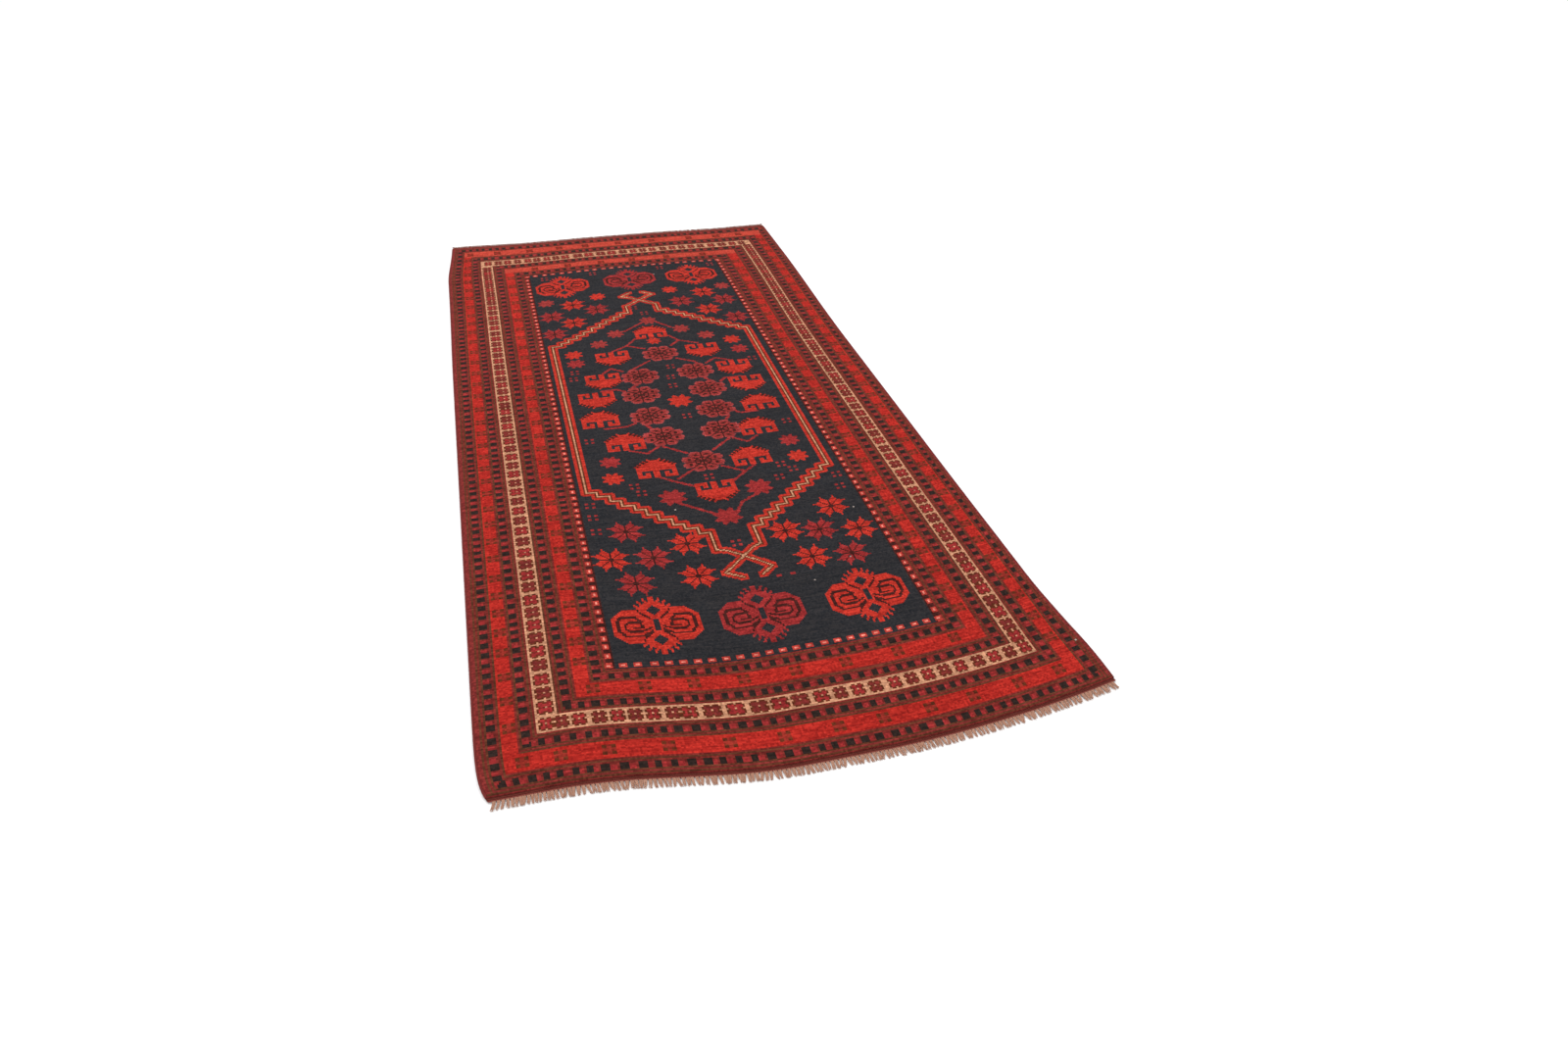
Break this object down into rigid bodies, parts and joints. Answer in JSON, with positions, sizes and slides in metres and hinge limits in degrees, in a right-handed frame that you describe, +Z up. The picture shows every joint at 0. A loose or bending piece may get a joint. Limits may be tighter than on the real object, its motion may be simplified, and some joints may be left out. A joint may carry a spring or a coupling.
{
  "type": "area rug",
  "caption": "Hand-knotted wool area rug with striped borders, a dark field of geometric motifs, bound edges and short fringed ends.",
  "frame": {"origin": "middle of the rug, on its underside, where it rests on the floor", "axes": "+X across the rug, +Y along its length, +Z up out of the pile"},
  "size_m": [1.214, 2.646, 0.0075],
  "materials": {
    "ground_wool": "matt woven wool and cotton",
    "selvedge_wool": "matt overcast wool",
    "flat_weave_wool": "matt flat-woven wool",
    "lock_row_wool": "matt twined wool",
    "warp_ends": "matt twisted warp yarn",
    "navy_pile": "dense matt wool pile",
    "red_pile": "dense matt wool pile",
    "crimson_pile": "dense matt wool pile",
    "maroon_pile": "dense matt wool pile",
    "cream_pile": "dense matt wool pile",
    "bead_pile": "dense matt wool pile"
  },
  "bodies": {
    "root": {"foundation": "ground_wool", "selvedge_left": "selvedge_wool", "selvedge_right": "selvedge_wool", "flat_weave_front": "flat_weave_wool", "flat_weave_back": "flat_weave_wool", "lock_row_front": "lock_row_wool", "lock_row_back": "lock_row_wool", "fringe_front": "warp_ends", "fringe_back": "warp_ends", "pile_edge_stripe": "maroon_pile", "pile_guard_band_1": "maroon_pile", "pile_outer_red_band": "red_pile", "pile_guard_band_2": "maroon_pile", "pile_cream_band": "cream_pile", "pile_guard_band_3": "maroon_pile", "pile_inner_red_band": "red_pile", "pile_guard_band_4": "maroon_pile", "pile_bead_stripe": "bead_pile", "pile_field": "navy_pile", "pile_medallion_line": "red_pile", "pile_spiral_medallions": "red_pile", "pile_split_stars": "crimson_pile", "pile_small_stars": "crimson_pile", "pile_rosettes": "crimson_pile", "pile_palmettes": "red_pile", "pile_stems": "crimson_pile", "pile_florets": "crimson_pile"}
  },
  "joints": []
}
